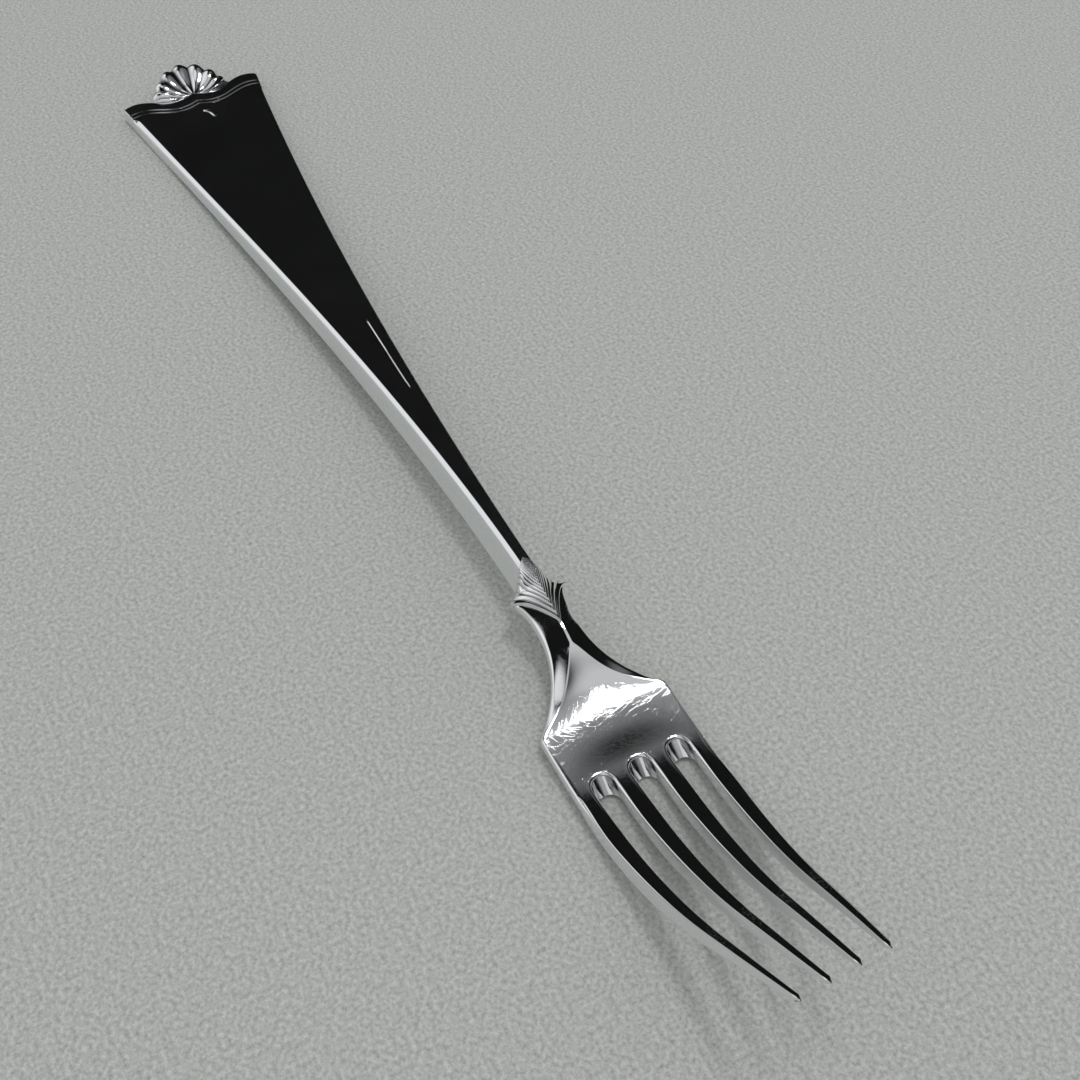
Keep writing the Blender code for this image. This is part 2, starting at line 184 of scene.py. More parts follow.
def tidyMesh(piece):
    bpy.ops.object.select_all(action="DESELECT")
    bpy.context.view_layer.objects.active = piece
    piece.select_set(True)
    bpy.ops.object.mode_set(mode="EDIT")
    bpy.ops.mesh.select_all(action="SELECT")
    bpy.ops.mesh.normals_make_consistent(inside=False)
    bpy.ops.object.mode_set(mode="OBJECT")
    bpy.ops.object.shade_smooth_by_angle(angle=math.radians(edges["smoothDegrees"]))
    print(piece.name, "has", len(piece.data.polygons), "faces")


# Handle: steep walls, a chamfer along each side of the crowned face, rounded edges
handle = {
    "endHalfWidth": 9.72,
    "neckHalfWidth": 0.92,
    "flarePower": 1.6,
    "endWall": 1.2,
    "neckWall": 3.27,
    "endDraft": 0.05,
    "neckDraft": 0.55,
    "endChamferRun": 0.63,
    "neckChamferRun": 0.53,
    "endChamferRise": 0.36,
    "neckChamferRise": 0.3,
    "stopRun": 0.15,  # the chamfer stops short of the threads
    "stopFade": 1.0,
    "crown": 0.22,
    "backRounding": 0.35,
    "backPower": 4,
    "panelTangent": 0.8,  # where, as a share of the half width, the slope at the edge is read
    "backTangent": 0.9,
    "crestRound": 0.08,
    "rimRound": 1.5,
    "footRound": 0.25,
    "endRound": 0.16,
    "cornerRound": 0.5,
    "panelColumns": 24,
    "arcColumns": 8,
    "endRows": 5,
    "lipRows": 5,  # from the rounded end to the threads
    "stopRows": 6,
    "rowStep": 0.6,
    "wear": 0.2,
    "edgeWear": 1.0,  # the walls are satin
}

# Scroll outline of the handle's end, and the two thread lines cut along it
scroll = {"swing": 1.12, "dip": 2.3, "dipToHump": 5.6, "offset": 0.17, "fadeLength": 30.0}
thread = {"inset": 2.15, "pitch": 0.8, "width": 0.5, "depth": 0.075, "rows": 8}
threadInsets = (thread["inset"], thread["inset"] + thread["pitch"])
threadsEnd = threadInsets[-1] + thread["width"] / 2

# A long hair scratch on the face, one column of the mesh wide
scratch = {"middle": 64.5, "length": 15.0, "fadeShare": 0.125, "column": 13, "depth": 0.065}

# Leaf collar, whose notch and width the handle's neck end follows too
collar = {
    "ribs": 14,
    "ribSpread": 1.4,  # ribs are finer away from the lower edge
    "topRibDepth": 0.03,
    "lipRibDepth": 0.18,
    "ribFadePower": 4,  # ribs run out at the lips
    "notch": 1.6,
    "point": 3.8,
    "pointCurve": 1.7,
    "lipHalfWidth": 2.8,
    "lipHeight": 2.15,
    "seamEdgeHeight": 0.6,
    "seamPower": 2.8,
    "ridgeShare": 0.5,  # the round back of the seam has become a sharp ridge by here
    "flareShare": 0.7,
    "sideDraft": 0.1,
    "stand": 0.25,
    "bulge": 0.2,
    "backRounding": 1.1,
    "neckRidgeHeight": 3.3,
    "edgeRound": 0.12,
    "rowsPerRib": 12,
    "columns": 72,
    "tarnishPower": 3,
}
collarTopHalfWidth = handle["neckHalfWidth"] + handle["neckDraft"] + collar["stand"]


def scrollLine(side):
    turn = math.pi * (abs(side) - scroll["dip"]) / scroll["dipToHump"]
    return scroll["offset"] + scroll["swing"] * math.cos(turn)


def threadCut(inset):
    for groove in threadInsets:
        offset = abs(inset - groove) / thread["width"]
        if offset < 0.5:
            return thread["depth"] * (0.5 + 0.5 * math.cos(2 * math.pi * offset))
    return 0.0


# cross rows of the handle: (inset from the end, drop of the rounded end)
def handleRows():
    rows = []
    radius = handle["endRound"]
    for i in range(handle["endRows"]):
        turn = math.pi / 2 * (1 - i / (handle["endRows"] - 1))
        rows.append((radius * (1 - math.sin(turn)), radius * (1 - math.cos(turn))))
    count = handle["lipRows"]
    insets = [mix(radius, thread["inset"] - thread["width"], (i + 1) / count) for i in range(count)]
    for groove in threadInsets:
        for i in range(thread["rows"] + 1):
            insets.append(groove + thread["width"] * (i / thread["rows"] - 0.5))
    count = handle["stopRows"]
    insets += [threadsEnd + handle["stopFade"] * (i + 1) / count for i in range(count)]
    first = insets[-1]
    last = fork["handle"] + fork["tuck"]
    count = math.ceil((last - first) / handle["rowStep"])
    insets += [mix(first, last, (i + 1) / count) for i in range(count)]
    return rows + [(inset, 0.0) for inset in insets]


# half of the handle's section at an inset, from its middle out: the top as (side, height, share of
# the threads) and the bottom as (side, height)
def handleSection(inset):
    along = clamp(inset / fork["handle"])
    half = mix(handle["neckHalfWidth"], handle["endHalfWidth"], (1 - along) ** handle["flarePower"])
    half -= edgeDrop(inset, handle["cornerRound"])
    started = ease((inset - threadsEnd) / handle["stopFade"])
    fullRun = mix(handle["endChamferRun"], handle["neckChamferRun"], along)
    run = mix(handle["stopRun"], fullRun, started)
    wall = mix(handle["endWall"], handle["neckWall"], along)
    rise = mix(handle["endChamferRise"], handle["neckChamferRise"], along)
    panelHalf = half - run

    def panel(side):
        bulge = handle["crown"] * panelHalf / handle["endHalfWidth"]
        return wall + rise + bulge * (1 - (side / panelHalf) ** 2)

    foot = half + mix(handle["endDraft"], handle["neckDraft"], along)
    rim = (half, wall)
    crest = (panelHalf, wall + rise)
    tangent = handle["panelTangent"] * panelHalf
    inner = (tangent, panel(tangent))
    steps = handle["arcColumns"]
    crestArc = cornerArc(inner, crest, rim, handle["crestRound"], steps)
    rimArc = cornerArc(crest, rim, (foot, 0), handle["rimRound"], steps)
    columns = handle["panelColumns"]
    top = []
    for i in range(columns):
        side = crestArc[0].x * i / columns
        top.append((side, panel(side), 1.0))
    top += [(point.x, point.y, 1 - i / steps) for i, point in enumerate(crestArc)]
    top += [(point.x, point.y, 0.0) for point in rimArc]

    rounding = handle["backRounding"] * ease((inset - fork["foot"]) / fork["foot"])

    def back(side):
        return rounding * (side / foot) ** handle["backPower"]

    tangent = handle["backTangent"] * foot
    inner = (tangent, back(tangent))
    footArc = cornerArc(inner, (foot, rounding), rim, handle["footRound"], steps)
    flat = len(top) - len(footArc)
    bottom = []
    for i in range(flat):
        side = footArc[0].x * i / flat
        bottom.append((side, back(side)))
    bottom += [(point.x, point.y) for point in footArc]
    return top, bottom


def makeHandle():
    rows = handleRows()
    sections = [handleSection(inset) for inset, drop in rows]
    half = len(sections[0][0]) - 1

    def placePoint(row, column, top):
        inset, drop = rows[row]
        number = column - half
        if top:
            side, height, share = sections[row][0][abs(number)]
            height -= drop + threadCut(inset) * share
            if number == scratch["column"]:
                away = abs(inset - scratch["middle"]) / scratch["length"]
                height -= scratch["depth"] * ease((0.5 - away) / scratch["fadeShare"])
        else:
            side, height = sections[row][1][abs(number)]
            height += drop
        side = math.copysign(side, number)
        fade = max(0.0, 1 - inset / scroll["fadeLength"]) ** 2
        notch = max(0.0, 1 - (fork["handle"] - inset) / scroll["fadeLength"]) ** 2
        station = inset + scrollLine(side) * fade
        station += collar["notch"] * abs(side) / collarTopHalfWidth * notch
        return lift(station, side, height)

    def wearAt(row, column, top):
        steps = handle["arcColumns"]
        rim = clamp((abs(column - half) - half + steps) / steps) if top else 1.0
        return mix(handle["wear"], handle["edgeWear"], rim)

    return gridSolid("handleBar", len(rows) - 1, 2 * half, placePoint, "wear", wearAt)


# Small comma in relief below the threads, where the two scrolls meet
comma = {
    "head": (5.2, -0.05),
    "tail": (7.6, 0.95),
    "bend": 0.25,
    "headHalfWidth": 0.6,
    "tailHalfWidth": 0.5,
    "waist": 0.6,
    "stand": 0.32,
    "segments": 24,
    "rings": 14,
}


def makeComma():
    bpy.ops.object.select_all(action="DESELECT")
    bpy.ops.mesh.primitive_uv_sphere_add(segments=comma["segments"], ring_count=comma["rings"], radius=1)
    drop = bpy.context.object
    drop.name = "comma"
    head, tail = Vector(comma["head"]), Vector(comma["tail"])
    run = tail - head
    across = Vector((-run.y, run.x)).normalized()
    face = handle["endWall"] + handle["endChamferRise"] + handle["crown"]
    for vertex in drop.data.vertices:
        share = (vertex.co.z + 1) / 2
        half = mix(comma["headHalfWidth"], comma["tailHalfWidth"], share)
        half *= mix(comma["waist"], 1, math.cos(math.pi * share) ** 2)
        spot = head + run * share
        spot += across * (vertex.co.x * half + comma["bend"] * math.sin(math.pi * share))
        stand = vertex.co.y * comma["stand"] * half / comma["headHalfWidth"]
        vertex.co = lift(spot.x, spot.y, face + stand)
    tidyMesh(drop)
    return drop


# Scallop shell: rounded ribs fan out from the hollow of the handle's end
shell = {
    "ribs": 11,
    "ribCrowding": 0.85,  # ribs are narrower towards the seam
    "height": 7.3,
    "halfWidth": 5.8,
    "spreadDegrees": 97.0,
    "rootShare": 0.08,
    "backHeight": 0.35,
    "rootHeight": 1.75,
    "rimHeight": 1.2,
    "dome": 1.7,
    "domeSkew": 2.2,
    "domeFallPower": 3,
    "ribDepth": 0.5,
    "scallop": 0.35,
    "seamPower": 2,
    "rimShare": 0.1,
    "rimRound": 0.4,
    "rows": 60,
    "columnsPerRib": 18,
    "tarnishPower": 2,
}


def makeShell():
    columns = shell["ribs"] * shell["columnsPerRib"]
    spread = math.radians(shell["spreadDegrees"])
    crowding = math.pi / 2 * shell["ribCrowding"]
    hub = scrollLine(0) - fork["seam"]

    def ribLobe(column):
        return abs(math.sin(math.pi * column / shell["columnsPerRib"]))

    def placePoint(row, column, top):
        out = row / shell["rows"]
        turn = spread * math.sin(mix(-crowding, crowding, column / columns)) / math.sin(crowding)
        lobe = ribLobe(column)
        reach = math.hypot(shell["height"] * math.cos(turn), shell["halfWidth"] * math.sin(turn))
        reach += shell["scallop"] * (lobe - 1)
        rimSide = reach * math.sin(turn)
        rimStation = hub - reach * math.cos(turn)
        rootSide = shell["rootShare"] * rimSide
        side = mix(rootSide, rimSide, out)
        straight = mix(scrollLine(rootSide) - fork["seam"], rimStation, out)
        seam = scrollLine(side) - fork["seam"]
        station = min(seam, mix(straight, seam, abs(turn / spread) ** shell["seamPower"]))
        if not top:
            return lift(station, side, shell["backHeight"])
        height = mix(shell["rootHeight"], shell["rimHeight"], out**2)
        dome = shell["dome"] * math.sin(math.pi * out ** shell["domeSkew"])
        height += dome * (1 - abs(turn / spread) ** shell["domeFallPower"])
        height += shell["ribDepth"] * (lobe - 1) * math.sqrt(out)
        height -= shell["rimRound"] * edgeDrop((1 - out) / shell["rimShare"], 1)
        return lift(station, side, height)

    def hollowAt(row, column, top):
        return (1 - ribLobe(column)) ** shell["tarnishPower"] if top else 0.0

    return gridSolid("scallopShell", shell["rows"], columns, placePoint, "hollow", hollowAt)


def collarLowerEdge(side):
    share = clamp(abs(side) / collar["lipHalfWidth"])
    return collarTip - collar["point"] * (1 - (1 - share) ** collar["pointCurve"])


def makeCollar():
    rows = collar["ribs"] * collar["rowsPerRib"]
    columns = collar["columns"]

    def line(row, column):
        share = -1 + 2 * column / columns
        first = fork["handle"] + collar["notch"] * abs(share)
        last = collarLowerEdge(share * collar["lipHalfWidth"])
        station = mix(first, last, row / rows)
        back = (last - station) / fork["collar"]
        lobe = abs(math.cos(math.pi * collar["ribs"] * back ** collar["ribSpread"]))
        edge = min(station - first, last - station)
        fade = 1 - share ** collar["ribFadePower"]
        return share, station, lobe, fade, edge

    def placePoint(row, column, top):
        along = row / rows
        share, station, lobe, fade, edge = line(row, column)
        flared = ease(along / collar["flareShare"])
        half = mix(collarTopHalfWidth, collar["lipHalfWidth"], flared)
        if not top:
            rounding = mix(handle["backRounding"], collar["backRounding"], along)
            return lift(station, share * (half - collar["sideDraft"]), rounding * share**2)
        handleTop = handle["neckWall"] + handle["neckChamferRise"]
        ridge = mix(handleTop, collar["neckRidgeHeight"], along) + collar["stand"]
        ridge += collar["bulge"] * math.sin(math.pi * along)
        lip = mix(collar["seamEdgeHeight"], collar["lipHeight"], along)
        power = mix(collar["seamPower"], 1, ease(along / collar["ridgeShare"]))
        height = mix(ridge, lip, abs(share) ** power)
        ribDepth = mix(collar["topRibDepth"], collar["lipRibDepth"], along) * fade
        height += ribDepth * (lobe - 1)
        height -= edgeDrop(edge, collar["edgeRound"])
        return lift(station, share * half, height)

    def hollowAt(row, column, top):
        share, station, lobe, fade, edge = line(row, column)
        return fade * (1 - lobe) ** collar["tarnishPower"] if top else 0.0

    return gridSolid("leafCollar", rows, columns, placePoint, "hollow", hollowAt)


# Fork head: a ridged neck whose crests part to frame the bowl, and four curved tines
head = {
    "waistHalfWidth": 2.05,
    "waistPower": 2.5,
    "shoulderPower": 2.2,
    "shoulderRound": 0.25,
    "lipHalfWidth": 2.65,
    "ridgeHalfWidth": 0.15,
    "crestOpeningPower": 0.65,
    "bevelRun": 0.25,
    "bevelHeight": 0.3,
    "ridgeHeight": 3.3,
    "ridgeFall": 6.2,
    "sideHeight": 1.9,
    "bowlHeight": 1.75,
    "tipHeight": 0.5,
    "dishDepth": 0.45,
    "crestSink": 0.35,  # share of the dish that the crests follow at the shoulders
    "neckBackRounding": 1.1,
    "bowlBackRounding": 0.3,
    "tines": 4,
    "tinePitch": 3.82,
    "tipPitch": 2.58,
    "pitchPower": 1.7,
    "slotHalfWidth": 1.05,
    "slotScoop": 1.4,  # the slots' round ends slope: how much further on they start at the back
    "tipHalfWidth": 0.24,
    "tipTaperPower": 1.1,
    "draft": 0.25,
    "draftPower": 0.85,
    "crestRound": 0.08,
    "slotRound": 0.3,
    "edgeRound": 0.35,
    "backRound": 0.3,
    "tipRound": 0.4,
    "tineEdgeRound": 0.1,
    "tineBevelRun": 0.06,
    "bevelRoundShare": 0.4,  # most of the outer bevel that a rounding may take
    "tineRoundShare": 0.6,  # most of half a tine that a rounding may take
    "bevelFade": 0.25,  # shares of the tines' length over which a form changes
    "slotRoundFade": 0.2,
    "backFade": 0.5,
    "tipNarrowing": 0.7,
    "tipThinning": 0.35,
    "tuckShare": 0.9,  # the neck is drawn in to this under the collar
    "rootRows": 56,
    "slotRows": 8,
    "slotRowsShare": 0.03,  # share of the root's length that the slot rows take
    "tineRows": 56,
    "tineRowPower": 1.15,  # above 1, rows are closer at the tips
    "slotColumns": 14,
    "tineColumns": (0.0, 0.3, 0.6, 0.8, 0.9, 0.95, 0.985, 1.0),  # shares of half a tine
    "bevelColumns": (0.04, 0.1, 0.2, 0.5, 0.8, 0.9, 0.97, 1.0),  # shares of the outer bevel
    "startRounds": 30,
    "wearStart": 0.3,  # share of the root's length where the bowl's wear sets in
    "wearFade": 0.3,
    "bowlWear": 0.3,
    "tineWear": 0.1,
    "wallWear": 0.7,
}
headHalfWidth = (head["tines"] / 2) * head["tinePitch"] - head["slotHalfWidth"]
slotEnd = slotRoot + head["slotHalfWidth"]


def headSideLine(station):
    start = collarTip - collar["point"]
    waist = (start + neckEnd) / 2
    if station < waist:
        narrowing = 1 - clamp((waist - station) / (waist - start)) ** head["waistPower"]
        return mix(head["lipHalfWidth"], head["waistHalfWidth"], narrowing)
    spread = ((station - waist) / (shoulder - waist)) ** head["shoulderPower"]
    wide = mix(head["waistHalfWidth"], headHalfWidth, spread)
    rounding = max(0.0, head["shoulderRound"] - abs(wide - headHalfWidth))
    return min(wide, headHalfWidth) - rounding**2 / (4 * head["shoulderRound"])


def headCrestLine(station):
    opening = clamp((station - ridgeEnd) / (shoulder - ridgeEnd))
    full = headSideLine(station) - head["bevelRun"]
    return mix(head["ridgeHalfWidth"], full, opening ** head["crestOpeningPower"])


# crest height, outer edge height and hollow between the crests at a station; towards the shoulders
# the crests sink with the bowl
def headHeights(station):
    tine = clamp((station - slotRoot) / fork["tines"])
    bowl = ease((station - collarTip) / head["ridgeFall"])
    crest = mix(mix(head["ridgeHeight"], head["bowlHeight"], bowl), head["tipHeight"], tine**2)
    rim = head["bowlHeight"] - head["bevelHeight"]
    edge = mix(mix(head["sideHeight"], rim, bowl), head["tipHeight"] / 2, tine**2)
    dished = clamp((station - ridgeEnd) / (slotRoot - ridgeEnd))
    dish = head["dishDepth"] * math.sin(math.pi * dished) ** 2
    sunk = dish * head["crestSink"] * ease((station - ridgeEnd) / (shoulder - ridgeEnd))
    return crest - sunk, edge - sunk, dish - sunk


# lines along the head, left to right: (tine or slot, number, share across it, share of the outer bevel)
def headLines():
    bevels, halves = head["bevelColumns"], head["tineColumns"]
    shares = [-share for share in reversed(halves)] + list(halves[1:])
    lines = [("tine", 0, -1.0, bevel) for bevel in reversed(bevels)]
    for tine in range(head["tines"]):
        lines += [("tine", tine, share, 0.0) for share in shares]
        if tine + 1 < head["tines"]:
            for i in range(1, head["slotColumns"]):
                turn = math.pi * (i / head["slotColumns"] - 0.5)
                lines.append(("slot", tine, math.sin(turn), 0.0))
    return lines + [("tine", head["tines"] - 1, 1.0, bevel) for bevel in bevels]


# where a line of the head comes out from under the collar, found in a few rounds
def headStart(across, bevel):
    station = collarTip
    for _ in range(head["startRounds"]):
        side = across * mix(headCrestLine(station), headSideLine(station), bevel)
        station = collarLowerEdge(side)
    return station - fork["tuck"]


def slotCentre(slot):
    return (slot - (head["tines"] - 2) / 2) * head["tinePitch"]


def makeHead():
    lines = headLines()
    rootCrest = headCrestLine(slotEnd)
    lastTine = head["tines"] - 1
    tineHalf = head["tinePitch"] / 2 - head["slotHalfWidth"]

    def rootSide(kind, number, share):
        if kind == "slot":
            return slotCentre(number) + share * head["slotHalfWidth"]
        return (number - lastTine / 2) * head["tinePitch"] + share * tineHalf

    acrosses = [rootSide(*line[:3]) / rootCrest for line in lines]
    acrosses = [max(-1.0, min(1.0, across)) for across in acrosses]
    starts = [headStart(across, line[3]) for across, line in zip(acrosses, lines)]
    # rows crowd together towards the round ends of the slots
    close = head["slotRowsShare"]
    shares = [(1 - close) * i / head["rootRows"] for i in range(head["rootRows"])]
    shares += [1 - close * (1 - i / head["slotRows"]) ** 2 for i in range(head["slotRows"] + 1)]
    rootRows = len(shares) - 1

    def slotDistance(station, side):
        ahead = max(0.0, slotEnd - station)
        nearest = min(math.hypot(ahead, side - slotCentre(slot)) for slot in range(lastTine))
        return nearest - head["slotHalfWidth"]

    def rootPoint(row, column, top):
        kind, number, share, bevel = lines[column]
        across = acrosses[column]
        end = slotEnd if top else slotEnd + head["slotScoop"]
        if kind == "slot":
            end -= head["slotHalfWidth"] * math.sqrt(1 - share**2)
        station = mix(starts[column], end, shares[row])
        crestHalf, half = headCrestLine(station), headSideLine(station)
        side = across * mix(crestHalf, half, bevel)
        if row == 0:
            side *= head["tuckShare"]
        slotGap = slotDistance(station if top else station - head["slotScoop"], side)
        outerGap = half - abs(side)
        if not top:
            bowl = ease((station - collarTip) / (shoulder - collarTip))
            rounding = mix(head["neckBackRounding"], head["bowlBackRounding"], bowl)
            height = rounding * (side / half) ** 2 + edgeDrop(min(slotGap, outerGap), head["backRound"])
            return lift(station, side, height)
        crest, edge, dish = headHeights(station)
        height = mix(crest, edge, bevel) - dish * (1 - across**2)
        # soft crest: a parabola takes the corner between the face and the outer bevel
        flank = half - crestHalf
        turn = (crest - edge) / flank + 2 * dish / crestHalf
        widest = head["bevelRoundShare"] * flank
        width = min(head["crestRound"], widest, crestHalf)
        crestGap = abs(abs(side) - crestHalf)
        height -= turn * width / 4 * max(0.0, 1 - crestGap / width) ** 2
        height -= edgeDrop(slotGap, head["slotRound"])
        height -= edgeDrop(outerGap, min(head["edgeRound"], widest))
        return lift(station, side, height)

    def tinePoint(row, column, top):
        kind, number, share, bevel = lines[column]
        along = (row - rootRows) / head["tineRows"]
        along = 1 - (1 - along) ** head["tineRowPower"]
        station = mix(slotEnd if top else slotEnd + head["slotScoop"], tineTip, along)
        crest, edge = headHeights(station)[:2]
        pitch = mix(head["tinePitch"], head["tipPitch"], along ** head["pitchPower"])
        centre = (number - lastTine / 2) * pitch
        half = mix(tineHalf, head["tipHalfWidth"], along ** head["tipTaperPower"])
        tip = edgeDrop(tineTip - station, head["tipRound"]) / head["tipRound"]
        outerSide = number in (0, lastTine) and share * centre > 0
        bevelRun = mix(head["bevelRun"], head["tineBevelRun"], ease(along / head["bevelFade"]))
        bevelRun = min(bevelRun, half / 2)
        if not top:
            half += head["draft"] * math.sin(math.pi * along ** head["draftPower"])
        half *= 1 - head["tipNarrowing"] * tip
        side = share * half
        if outerSide:
            side -= math.copysign(bevelRun * (1 - bevel), share) * abs(share)
        thinning = head["tipThinning"] * crest * tip
        widest = head["tineRoundShare"] * half
        if not top:
            rounding = head["bowlBackRounding"] * (1 - ease(along / head["backFade"]))
            height = rounding * ((centre + side) / headHalfWidth) ** 2
            height += edgeDrop(half - abs(side), min(head["backRound"], widest))
            return lift(station, centre + side, height + thinning)
        height = mix(crest, edge, bevel)
        if outerSide and abs(share) == 1:
            widest = head["bevelRoundShare"] * bevelRun
            width = min(head["crestRound"], widest)
            turn = (crest - edge) / bevelRun
            height -= turn * width / 4 * max(0.0, 1 - bevelRun * bevel / width) ** 2
            height -= edgeDrop(bevelRun * (1 - bevel), min(head["edgeRound"], widest))
        else:
            slotRound = mix(head["slotRound"], head["tineEdgeRound"], ease(along / head["slotRoundFade"]))
            height -= edgeDrop(half * (1 - abs(share)), min(slotRound, widest))
        return lift(station, centre + side, height - thinning)

    def placePoint(row, column, top):
        if row <= rootRows:
            return rootPoint(row, column, top)
        return tinePoint(row, column, top)

    def isHole(row, column):
        return row >= rootRows and "slot" in (lines[column][0], lines[column + 1][0])

    # the bowl's face is worn more than the tines' tops, and the tines' walls are satin
    def wearAt(row, column, top):
        if row > rootRows:
            onWall = not top or abs(lines[column][2]) == 1
            return head["wallWear"] if onWall else head["tineWear"]
        if not top:
            return head["tineWear"]
        bowl = ease((shares[row] - head["wearStart"]) / head["wearFade"])
        return mix(head["tineWear"], head["bowlWear"], bowl)

    rows = rootRows + head["tineRows"]
    return gridSolid("forkHead", rows, len(lines) - 1, placePoint, "wear", wearAt, isHole)


def hexColor(code):
    color = []
    for i in (0, 2, 4):
        channel = int(code[i:i + 2], 16) / 255
        color.append(channel / 12.92 if channel <= 0.04045 else ((channel + 0.055) / 1.055) ** 2.4)
    return color + [1]


def addNode(tree, kind, settings=None, links=None):
    node = tree.nodes.new(kind)
    for name, value in (settings or {}).items():
        if isinstance(name, int) or name in node.inputs:
            node.inputs[name].default_value = value
        else:
            setattr(node, name, value)
    for name, socket in (links or {}).items():
        tree.links.new(socket, node.inputs[name])
    return node


def newMaterial(name):
    material = bpy.data.materials.new(name)
    material.use_nodes = True
    tree = material.node_tree
    place = addNode(tree, "ShaderNodeTexCoord").outputs["Object"]
    return material, tree, tree.nodes["Principled BSDF"], place


# Polished silver: a mirror, with a faint haze and hair scratches where food and cutlery have worn it
polished = {
    "color": "f9fafb",
    "hazeColor": "eef0f1",
    "metallic": 1.0,
    "hazeSize": 7.0,  # mm across a hazy patch
    "hazeDetail": 4.0,
    "hazeRoughness": 0.6,
    "scratchSpacing": 0.5,  # mm between hair scratches, drawn coarse enough to show
    "scratchLength": 3.5,  # mm
    "scratchDepth": 0.004,  # mm
    "scratchWidth": 0.008,  # share of the noise's range that is cut
    "scratchDetail": 2.0,
    "scratchAngles": (0.4, -0.6, 1.1, -1.4),  # radians about +Z
    "scratchedWear": 0.5,  # scratches deepen with wear up to here, and are gone again at twice this
    "satinWear": 0.6,  # haze times wear at which the roughness is the worn one
    "smooth": 0.03,
    "worn": 0.35,
}


def polishedSilver():
    material, tree, shader, place = newMaterial("polishedSilver")
    shader.inputs["Metallic"].default_value = polished["metallic"]
    haze = addNode(tree, "ShaderNodeTexNoise",
                   {"Scale": 1 / (polished["hazeSize"] * mm), "Detail": polished["hazeDetail"],
                    "Roughness": polished["hazeRoughness"]}, {"Vector": place}).outputs["Fac"]
    tint = addNode(tree, "ShaderNodeMixRGB",
                   {"Color1": hexColor(polished["color"]), "Color2": hexColor(polished["hazeColor"])},
                   {"Fac": haze})
    tree.links.new(tint.outputs["Color"], shader.inputs["Base Color"])
    # each layer of scratches is where a stretched noise passes its middle value
    spacing, length = polished["scratchSpacing"] * mm, polished["scratchLength"] * mm
    scratches = None
    for angle in polished["scratchAngles"]:
        turned = addNode(tree, "ShaderNodeMapping",
                         {"vector_type": "TEXTURE", "Rotation": (0, 0, angle),
                          "Scale": (length, spacing, spacing)}, {"Vector": place})
        drift = addNode(tree, "ShaderNodeTexNoise", {"Scale": 1.0, "Detail": polished["scratchDetail"]},
                        {"Vector": turned.outputs["Vector"]})
        offset = addNode(tree, "ShaderNodeMath", {"operation": "SUBTRACT", 1: 0.5},
                         {0: drift.outputs["Fac"]})
        away = addNode(tree, "ShaderNodeMath", {"operation": "ABSOLUTE"}, {0: offset.outputs["Value"]})
        layer = addNode(tree, "ShaderNodeMapRange",
                        {"From Max": polished["scratchWidth"], "To Min": 1.0, "To Max": 0.0},
                        {"Value": away.outputs["Value"]}).outputs["Result"]
        if scratches is None:
            scratches = layer
        else:
            scratches = addNode(tree, "ShaderNodeMath", {"operation": "MAXIMUM"},
                                {0: layer, 1: scratches}).outputs["Value"]
    wear = addNode(tree, "ShaderNodeAttribute", {"attribute_name": "wear"}).outputs["Fac"]
    marked = addNode(tree, "ShaderNodeMath",
                     {"operation": "PINGPONG", 1: polished["scratchedWear"]}, {0: wear})
    cut = addNode(tree, "ShaderNodeMath", {"operation": "MULTIPLY"},
                  {0: scratches, 1: marked.outputs["Value"]})
    bump = addNode(tree, "ShaderNodeBump", {"Distance": polished["scratchDepth"] * mm, "invert": True},
                   {"Height": cut.outputs["Value"]})
    tree.links.new(bump.outputs["Normal"], shader.inputs["Normal"])
    hazeWear = addNode(tree, "ShaderNodeMath", {"operation": "MULTIPLY"}, {0: haze, 1: wear})
    satin = addNode(tree, "ShaderNodeMapRange",
                    {"From Max": polished["satinWear"], "To Min": polished["smooth"],
                     "To Max": polished["worn"]}, {"Value": hazeWear.outputs["Value"]})
    tree.links.new(satin.outputs["Result"], shader.inputs["Roughness"])
    return material


# Worked silver: the same metal with a soft polish on the high parts and tarnish left in the hollows
worked = {
    "color": "f8f9fa",
    "tarnishColor": "2b2c2c",
    "metallic": 1.0,
    "pitSize": 0.25,  # mm across the casting's fine pits
    "pitDetail": 3.0,
    "pitDepth": 0.002,  # mm
    "smooth": 0.05,
    "worn": 0.2,
}


def workedSilver():
    material, tree, shader, place = newMaterial("workedSilver")
    shader.inputs["Metallic"].default_value = worked["metallic"]
    hollow = addNode(tree, "ShaderNodeAttribute", {"attribute_name": "hollow"}).outputs["Fac"]
    tint = addNode(tree, "ShaderNodeMixRGB",
                   {"Color1": hexColor(worked["color"]), "Color2": hexColor(worked["tarnishColor"])},
                   {"Fac": hollow})
    tree.links.new(tint.outputs["Color"], shader.inputs["Base Color"])
    dull = addNode(tree, "ShaderNodeMapRange",
                   {"To Min": worked["smooth"], "To Max": worked["worn"]}, {"Value": hollow})
    tree.links.new(dull.outputs["Result"], shader.inputs["Roughness"])
    pits = addNode(tree, "ShaderNodeTexNoise",
                   {"Scale": 1 / (worked["pitSize"] * mm), "Detail": worked["pitDetail"]},
                   {"Vector": place})
    bump = addNode(tree, "ShaderNodeBump", {"Distance": worked["pitDepth"] * mm},
                   {"Height": pits.outputs["Fac"]})
    tree.links.new(bump.outputs["Normal"], shader.inputs["Normal"])
    return material


def dress(piece, material, slot, *nodes):
    piece.data.materials.clear()
    piece.data.materials.append(material)
    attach(piece, "root")
    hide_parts(*nodes)


